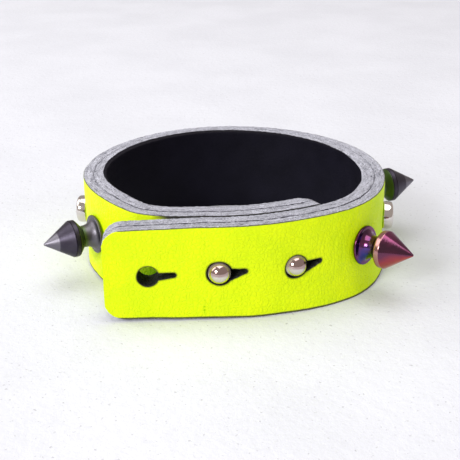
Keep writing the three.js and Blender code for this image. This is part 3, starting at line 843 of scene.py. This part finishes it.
def relief(points):
    """How far the coated face stands out, in millimetres: soft waves, pressed rings and puckers.

    A pucker is a train of ripples round a buttoned keyhole that dies away within a few millimetres.
    """
    s, up = points[:, 0], points[:, 1]
    height = 0.05 * waves(s, up, 9.0, 5) + 0.018 * waves(s, up, 2.6, 6, 14)
    for at, rise in HOLE_PLACES:
        right, over = at - s, up - rise
        r = np.hypot(right, over)
        bearing = np.arctan2(over, right)
        turned_away = (bearing - PUCKER_BEARING) / PUCKER_TURN
        side = PUCKER_LEAST + (1 - PUCKER_LEAST) * np.exp(-turned_away**2)
        fade = np.exp(-((r - PUCKER_AT) / PUCKER_WIDE) ** 2)
        ripple = np.sin(math.tau * r / PUCKER_WAVE + 1.2 * waves(s, up, 5.0, 8))
        height += PUCKER * side * fade * ripple
        height -= DIMPLE * np.exp(-((r - DIMPLE_AT) / DIMPLE_WIDE) ** 2)
    for spots, radius in ((SPIKE_SPOTS, SPIKE_FOOT), (CAP_SPOTS, CAP_FOOT)):
        for at, rise in spots:
            r = np.hypot(s - at, up - rise)
            past = np.minimum((r - radius - PRESS_SPARE) / PRESS_EDGE, FAR)
            height -= PRESS / (1 + np.exp(past))
    return height


# %% [markdown]
# Painted shade darkens the coated face on the lips of the keyholes and round the feet of the balls.

# %% Painted shade on keyhole lips and round the balls
HOLE_SHADE_FADE = 0.34
STUD_SHADE = (2.5, 3.3)
LIP_SHADE = 1.25  # over 1, so that the lip itself is fully dark


def hole_shade_at(flat, loops, points, renumber):
    """How much painted shade the coated face gets: full on a keyhole's lip, fading over a short distance, and round
    each ball's foot.
    """
    hole_shade = np.zeros(len(flat))
    for ids, *_, kind in loops:
        if kind == "hole":
            outline = points[renumber[ids]]
            near = np.abs(flat[:, 0] - outline[:, 0].mean()) < PATCH_RIGHT
            away = np.linalg.norm(flat[near, None] - outline[None], axis=2).min(1)
            hole_shade[near] = np.maximum(hole_shade[near], np.clip(LIP_SHADE - away / HOLE_SHADE_FADE, 0, 1))
    for at, rise in STUD_SPOTS:
        away = np.hypot(flat[:, 0] - at, flat[:, 1] - rise)
        low, high = STUD_SHADE
        hole_shade = np.maximum(hole_shade, np.clip((high - away) / (high - low), 0, 1))
    return hole_shade


# %% [markdown]
# A wall's rows are numbered by shares: 0 is the coated face, 1 the end of its eased round, 2 where the round of
# the flesh side begins, and 3 the flesh side. From 1 to 2 the fibres of the cut stand in and out a little.

# %% Walls of a ply
ROUND_ROWS, FRAY_ROWS = (0.3, 1.0), (2.0, 2.7)
FIBRE, FIBRE_LENGTH, FIBRE_TURN = 0.045, 0.9, 3.1  # height, length, and how much faster they vary in depth
COATED, RAW, PUNCHED = 0, 1, 2  # the finishes of a ply, in the order of its material slots


def wall_rows(at, towards, thick, turn_in, fray, ease):
    """Rows of a wall between the two faces, as pairs of points (along, up) and their depths."""
    steps = max(3, round(float(thick.max()) / WALL_STEP))
    wall = []
    for share in (*ROUND_ROWS, *np.linspace(1, 2, steps)[1:-1], *FRAY_ROWS):
        inset = 0 * thick
        if share <= 1:
            depth = share * FACE_ROUND + inset
            inset = (1 - share) ** 2 * turn_in * 0.9
        elif share <= 2:
            depth = FACE_ROUND + (share - 1) * (thick - 2 * FACE_ROUND)
        else:
            depth = thick - (3 - share) * FACE_ROUND
            inset = (share - 2) ** 2 * fray
        fibre = FIBRE * waves(at[:, 0], at[:, 1] + depth * FIBRE_TURN, FIBRE_LENGTH, 12, 12)
        fibre = fibre * ease * (share >= 1)
        wall.append((at - towards * (inset + fibre)[:, None], depth))
    return wall


# %% [markdown]
# The piece is the sheet, its copy and the walls, bent onto the strap's path in one go. The relief of the face is
# carried part of the way down the walls, so that the eased edge follows it.

# %% A ply as a solid piece
FRAY_WAVE, FRAY_MEAN, FRAY_LEAST = 3.2, 1.3, 0.3
RELIEF_REACH = 0.8  # share of the top ply's thickness over which the face's relief dies away
LINING_WAVE, LINING_CALM = 0.04, 0.2
SHARP_LEATHER = math.radians(50)


def ply(name, start, stop, depth, thickness, face_finish, step, holes=(), outer=True, **rounded):
    """Leather between two depths: the sheet, its copy on the flesh side, and eased walls between them."""
    points, faces, loops = sheet(start, stop, step, holes, **rounded)
    used = np.unique(np.concatenate([faces.ravel(), *[ids for ids, *_ in loops]]))
    renumber = np.full(len(points), -1)
    renumber[used] = np.arange(len(used))
    points, faces = points[used], renumber[faces]
    count = len(points)
    front, back = points.copy(), points.copy()
    rows, row_faces, row_finish = [], [], []
    total = 2 * count
    coated_rows = 2 if outer else 0
    for ids, towards, ease, kind in loops:
        ids = renumber[ids]
        at = points[ids]
        fray = FRAY * (FRAY_MEAN + waves(at[:, 0], at[:, 1], FRAY_WAVE, 11)).clip(FRAY_LEAST) * ease
        crisp = FACE_ROUND * ease
        turn_in, fray = (crisp, fray) if outer else (fray * 0.5, crisp)
        front[ids] -= towards * turn_in[:, None]
        back[ids] -= towards * fray[:, None]
        wall = wall_rows(at, towards, thickness(at[:, 0]), turn_in, fray, ease)
        n = len(ids)
        numbers = [ids] + [total + k * n + np.arange(n) for k in range(len(wall))] + [ids + count]
        total += n * len(wall)
        rows += wall
        for k, (a, b) in enumerate(zip(numbers[:-1], numbers[1:])):
            row_faces.append(np.stack([a, b, np.roll(b, -1), np.roll(a, -1)], -1))
            row_finish.append(np.full(n, PUNCHED if kind == "hole" else COATED if k < coated_rows else RAW))
    flat = np.concatenate([front, back, *[p for p, _ in rows]])
    depths = np.concatenate([np.zeros(count), thickness(points[:, 0]), *[d for _, d in rows]])
    if outer:
        lift = relief(flat) * np.clip(1 - depths / (TOP_PLY * RELIEF_REACH), 0, 1)
    else:
        swell = np.clip(depths / LINING_PLY - LINING_CALM, 0, 1)
        lift = -LINING_WAVE * waves(flat[:, 0], flat[:, 1], 7.0, 9) * swell
    along, height = flat[:, 0], settle(flat)
    depths += depth(along)
    strap = np.stack([along, height, depths], -1)
    # painted shade round the holes and balls, with each point's height over the middle kept beside it
    hole_shade = np.zeros_like(strap)
    hole_shade[:, 0] = hole_shade_at(flat, loops, points, renumber)
    hole_shade[:, 1] = flat[:, 1]
    all_faces = np.concatenate([faces, faces[:, ::-1] + count, *row_faces])
    sides = (COATED, RAW) if outer else (RAW, COATED)
    marks = np.concatenate([*(np.full(len(faces), side) for side in sides), *row_finish])
    finishes = [face_finish, RAW_EDGE, PUNCHED_WALL]
    spots = place(along, height, depths - lift)
    piece = new_piece(name, spots, all_faces, finishes, marks, {"strap": strap, "hole_shade": hole_shade})
    piece.data.set_sharp_from_angle(angle=SHARP_LEATHER)
    return piece


# %% [markdown]
# ## Six leather pieces
#
# Each ply is three pieces that meet at seams too fine to see, because both sides use the same formula. The seams
# stand where nothing bends. The band's pieces are attached to the band; the tab's and tip's pieces are left where
# they are made.

# %% Cut and bend the leather
FINE, COARSE = 0.36, 0.5
START_RADIUS = 2.6  # the hidden end is only nipped at its corners
TOP_SKIVE, TOP_SKIVE_LENGTH = 0.8, 5.0  # and both its plies are pared, so that the wrist does not feel it
SQUEEZE = 0.14  # the glue is squeezed thin, so that the plies all but touch
ROOT_FROM, ROOT_TO = length_at(-43.4), length_at(-58.0)
TIP_FROM, TIP_TO = END - 19.7, END - 14.4
PARE_CURVE = 1.5


def top_thickness(s):
    """The top ply at full thickness, but pared at the start by a power of what is left of the pared length."""
    return TOP_PLY - TOP_SKIVE * (1 - np.minimum(s / TOP_SKIVE_LENGTH, 1)) ** PARE_CURVE


def top_depth(s):
    """The top ply lies at the strap's outer face."""
    return 0 * s


def lining_depth(s):
    """The lining lies under the top ply and what is left of the glue line."""
    return top_thickness(s) + GLUE_LINE - SQUEEZE


def lining_thickness(s):
    """The lining's thickness, pared in a straight line from its start."""
    return SQUEEZE + SKIVE_EDGE + (LINING_PLY - SKIVE_EDGE) * np.minimum(s / SKIVE_LENGTH, 1)


STRETCHES = (
    ("band", 0.0, ROOT_FROM, COARSE, (), dict(round_start=START_RADIUS)),
    ("tab", ROOT_FROM, TIP_FROM, FINE, TAB_HOLES[:0:-1], {}),
    ("tip", TIP_FROM, END, FINE, TAB_HOLES[:1], dict(round_stop=CORNER_RADIUS)),
)
BENDS = {"tab": ("band", "tab", ROOT_FROM, ROOT_TO), "tip": ("tab", "tip", TIP_FROM, TIP_TO)}
for stretch, start, stop, step, holes, rounded in STRETCHES:
    for kind, depth, thickness, finish in (
        ("top_ply", top_depth, top_thickness, NEON_LEATHER),
        ("lining", lining_depth, lining_thickness, BLACK_LEATHER),
    ):
        node = f"{kind}_{stretch}"
        outer = kind == "top_ply"
        piece = ply(f"{node}_leather", start, stop, depth, thickness, finish, step, holes, outer, **rounded)
        if stretch in BENDS:
            body_a, body_b, bend_from, bend_to = BENDS[stretch]
            spots = place(np.array([bend_from, bend_to]), np.zeros(2), np.zeros(2))
            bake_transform(piece)
        else:
            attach(piece, "band")
        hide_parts(node)

# %% [markdown]
# ## Turned metal
#
# Spikes, cap studs and ball studs come off a lathe, so each is a profile swept round its axis. The profile has
# only its corners, and each corner is eased by a short curve, as a tool with a small nose leaves it.

# %% Lathe
SIDES = 96
EASE_POINTS, EASE_SHARE = 6, 0.45  # points of an eased corner, and the share of a short side it may take
SHARP_METAL = math.radians(40)


def ease_corners(corners, radius):
    """Corners of a profile replaced by short parabolas that start and end radius away, or less on short sides."""
    corners = np.array(corners, float)
    out = [corners[:1]]
    for before, corner, after in zip(corners[:-2], corners[1:-1], corners[2:]):
        sides = [side - corner for side in (before, after)]
        sizes = [np.linalg.norm(side) for side in sides]
        a, b = (corner + side / size * min(radius, size * EASE_SHARE) for side, size in zip(sides, sizes))
        t = np.linspace(0, 1, EASE_POINTS)[:, None]
        out.append((1 - t) ** 2 * a + 2 * t * (1 - t) * corner + t**2 * b)
    out.append(corners[-1:])
    return np.concatenate(out)


def turned(name, node, profile, finish):
    """A profile of (radius, height) swept round the node's axis. Its first and last points are on the axis."""
    foot, out = axis_of(node)
    level = np.array([-out[1], out[0], 0.0])
    level /= np.linalg.norm(level)
    up = np.cross(out, level)
    bearing = np.arange(SIDES) * math.tau / SIDES
    radius, height = profile[1:-1, 0], profile[1:-1, 1]
    ring = (radius[:, None, None] * (np.cos(bearing)[:, None] * level + np.sin(bearing)[:, None] * up)
            + height[:, None, None] * out)
    poles = profile[[0, -1], 1][:, None] * out
    points = np.concatenate([ring.reshape(-1, 3), poles]) * MM + foot
    index = np.arange(len(radius) * SIDES).reshape(-1, SIDES)
    turn = np.roll(index, -1, 1)
    quads = np.stack([index[:-1], turn[:-1], turn[1:], index[1:]], -1).reshape(-1, 4)
    low, high = len(points) - 2, len(points) - 1
    base = np.stack([turn[0], index[0], np.full(SIDES, low)], -1)
    cap = np.stack([index[-1], turn[-1], np.full(SIDES, high)], -1)
    faces = [*quads.tolist(), *base.tolist(), *cap.tolist()]
    # the first part of the kept vector is 1 on the side facing up and 0 underneath; the finishes paint reflections
    # by it
    around = np.tile(0.5 + 0.5 * np.sin(bearing), len(radius))
    field = np.stack([around, np.repeat(height, SIDES), np.repeat(radius, SIDES)], -1)
    field = np.concatenate([field, [[0.5, profile[0, 1], 0], [0.5, profile[-1, 1], 0]]])
    piece = new_piece(name, points, faces, [finish], fields={"turned": field})
    piece.data.set_sharp_from_angle(angle=SHARP_METAL)
    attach(piece, "band")
    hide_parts(node)


# %% [markdown]
# A spike is a flange, a hollow waist that follows a quarter ellipse, and a cone over a short rim.

# %% Spikes
SPIKE_RADIUS, SPIKE_WAIST, SPIKE_LENGTH = 3.9, 2.3, 11.68
FLANGE = [(0, 0), (3.9, 0), (4.1, 0.2), (4.1, 0.6), (3.75, 0.74)]
FLARE_IN, FLARE_FROM, FLARE_UP = 1.35, 0.72, 2.2
CONE = [
    (SPIKE_WAIST, 2.95), (SPIKE_WAIST, 3.35), (SPIKE_RADIUS - 0.06, 4.6), (SPIKE_RADIUS, 4.75),
    (SPIKE_RADIUS, 5.7), (SPIKE_RADIUS - 0.08, 5.85), (0.22, SPIKE_LENGTH - 0.12), (0, SPIKE_LENGTH),
]
quarter = np.linspace(0, np.pi / 2, 12)
flare_radius = SPIKE_WAIST + FLARE_IN * (1 - np.sin(quarter))
flare_height = FLARE_FROM + FLARE_UP * (1 - np.cos(quarter))
flare = np.stack([flare_radius, flare_height], -1)
spike_profile = np.concatenate([ease_corners(FLANGE, 0.12), flare[:-1], ease_corners(CONE, 0.1)])
SUBPARTS = frame["record"]["subparts"]
IRIDESCENT_SPIKES = [s["node"] for s in SUBPARTS if s["material_slot"] == "iridescent_metal"]
for node in SPIKES:
    shiny = node in IRIDESCENT_SPIKES
    finish, slot_name = (IRIDESCENT, "iridescent_metal") if shiny else (GUNMETAL, "gunmetal")
    turned(f"{node}_turned", node, spike_profile, finish)

# %% [markdown]
# A cap stud is a low domed disc. A ball stud is a foot, a neck and a sphere, and its sphere ends where the packed
# stud ends.

# %% Cap studs and ball studs
CAP = [(0, 0), (2.95, 0), (3.05, 0.15), (3.05, 1.5), (2.85, 2.0), (2.35, 2.27), (0, 2.42)]
for node in CAPS:
    turned(f"{node}_turned", node, ease_corners(CAP, 0.35), NICKEL)

BALL_RADIUS, BALL_NECK, BALL_POINTS = 2.25, 1.1, 40
BALL_FOOT = [(0, 0), (2.3, 0), (2.3, 0.5), (BALL_NECK, 0.6)]
for node in BALLS:
    foot, out = axis_of(node)
    reach = float(((points_of(node) - foot) @ out).max()) / MM
    rise = np.linspace(math.asin(BALL_NECK / BALL_RADIUS), np.pi, BALL_POINTS)
    ball = np.stack([BALL_RADIUS * np.sin(rise), reach - BALL_RADIUS - BALL_RADIUS * np.cos(rise)], -1)
    ball[-1, 0] = 0
    base = ease_corners([*BALL_FOOT, tuple(ball[0])], 0.1)
    finish = nickel(f"nickel_{node}", waist=reach - BALL_RADIUS)
    turned(f"{node}_turned", node, np.concatenate([base[:-1], ball]), finish)

# %% [markdown]
# The screws and rivets sit between the plies, where nobody looks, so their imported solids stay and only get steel.

# %% Hidden screws and rivets
for name, node in frame["nodes"].items():
    if "screw" in name or "rivet" in name:
        node.data.materials.clear()
        node.data.materials.append(SCREW_STEEL)

# %% [markdown]
# ## Camera, floor and light
#
# The band stands on a pale plaster board in soft daylight. The camera looks down at it from close by, so the near
# tab looks taller than the far wall. Large lights far away give the pale, nearly shadowless ground.

# %% Camera
CAMERA_FROM_RING = (-0.88, -188.84, 87.4)
CAMERA_DOWN = 23.5
SENSOR = 36.0
LENS = SENSOR * 900 / 460
camera = bpy.data.objects.new("camera", bpy.data.cameras.new("camera"))
bpy.context.scene.collection.objects.link(camera)
camera.data.sensor_width, camera.data.lens = SENSOR, LENS
camera.data.clip_start, camera.data.clip_end = 0.01, 20.0
camera.location = (np.array(CAMERA_FROM_RING) + [*RING_CENTRE, 0]) * MM
camera.rotation_euler = (math.radians(90 - CAMERA_DOWN), 0, 0)
bpy.context.scene.camera = camera

# %% [markdown]
# The board is painted plaster: broad clouds and a fine grain in its colour, and a few dark pits.

# %% Floor
PLASTER_LIGHT, PLASTER_DARK, PIT = (0.68, 0.70, 0.755), (0.60, 0.618, 0.668), (0.33, 0.33, 0.35)
FLOOR_HALF = 5.0


def plaster():
    finish = Finish("plaster", Roughness=0.75, Specular_IOR_Level=0.25)
    at = finish.on_object(1.0)
    broad = finish.noise(at, 28.0, detail=3.0)
    fine = finish.noise(at, 420.0, detail=4.0, roughness=0.65)
    pits = 1 - finish.noise(at, 1300.0, detail=2.0).between(0.25, 0.36)
    clouds = broad.between(0.3, 0.7) * 0.5 + fine.between(0.55, 0.8) * 0.5
    colour = finish.mix(pits * 0.6, finish.mix(clouds, PLASTER_LIGHT, PLASTER_DARK), PIT)
    return finish.wear(Base_Color=colour, Normal=finish.bump(fine, 0.0006, 0.35))


corners = np.array([(-1, -1, 0), (1, -1, 0), (1, 1, 0), (-1, 1, 0)]) * FLOOR_HALF
new_piece("floor", corners, [(0, 1, 2, 3)], [plaster()])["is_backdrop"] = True

# %% [markdown]
# Three soft lights stand for a window on the left, a bright ceiling and a reflector in front, in a pale room.

# %% Light
LIGHTS = (  # name, place, aimed at, side in metres, power in watts
    ("window", (-0.95, 0.10, 0.75), (0, 0, 0.01), 0.9, 6.3),
    ("ceiling", (0.05, 0.05, 1.2), (0, 0, 0), 1.0, 8.3),
    ("front", (-0.70, -0.98, 0.60), (0, 0, 0.01), 0.40, 11.3),
)
ROOM_COLOUR, ROOM_LIGHT = (0.88, 0.78, 0.74, 1.0), 0.53

for name, at, target, size, power in LIGHTS:
    light = bpy.data.objects.new(name, bpy.data.lights.new(name, "AREA"))
    bpy.context.scene.collection.objects.link(light)
    light.data.shape, light.data.size, light.data.energy = "SQUARE", size, power
    light.location = at
    light.rotation_euler = (Vector(target) - Vector(at)).to_track_quat("-Z", "Y").to_euler()
world = bpy.data.worlds.new("room")
world.use_nodes = True
background = world.node_tree.nodes["Background"].inputs
background["Color"].default_value, background["Strength"].default_value = ROOM_COLOUR, ROOM_LIGHT
bpy.context.scene.world = world
bpy.context.scene.view_settings.view_transform = "Standard"

# %% [markdown]
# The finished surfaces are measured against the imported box, to see how far they grew.

# %% Sizes
low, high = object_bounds()
below = [round((a - b) / MM, 2) for a, b in zip(cad_low, low)]
above = [round((b - a) / MM, 2) for a, b in zip(cad_high, high)]
print("grown by mm:", below, above)
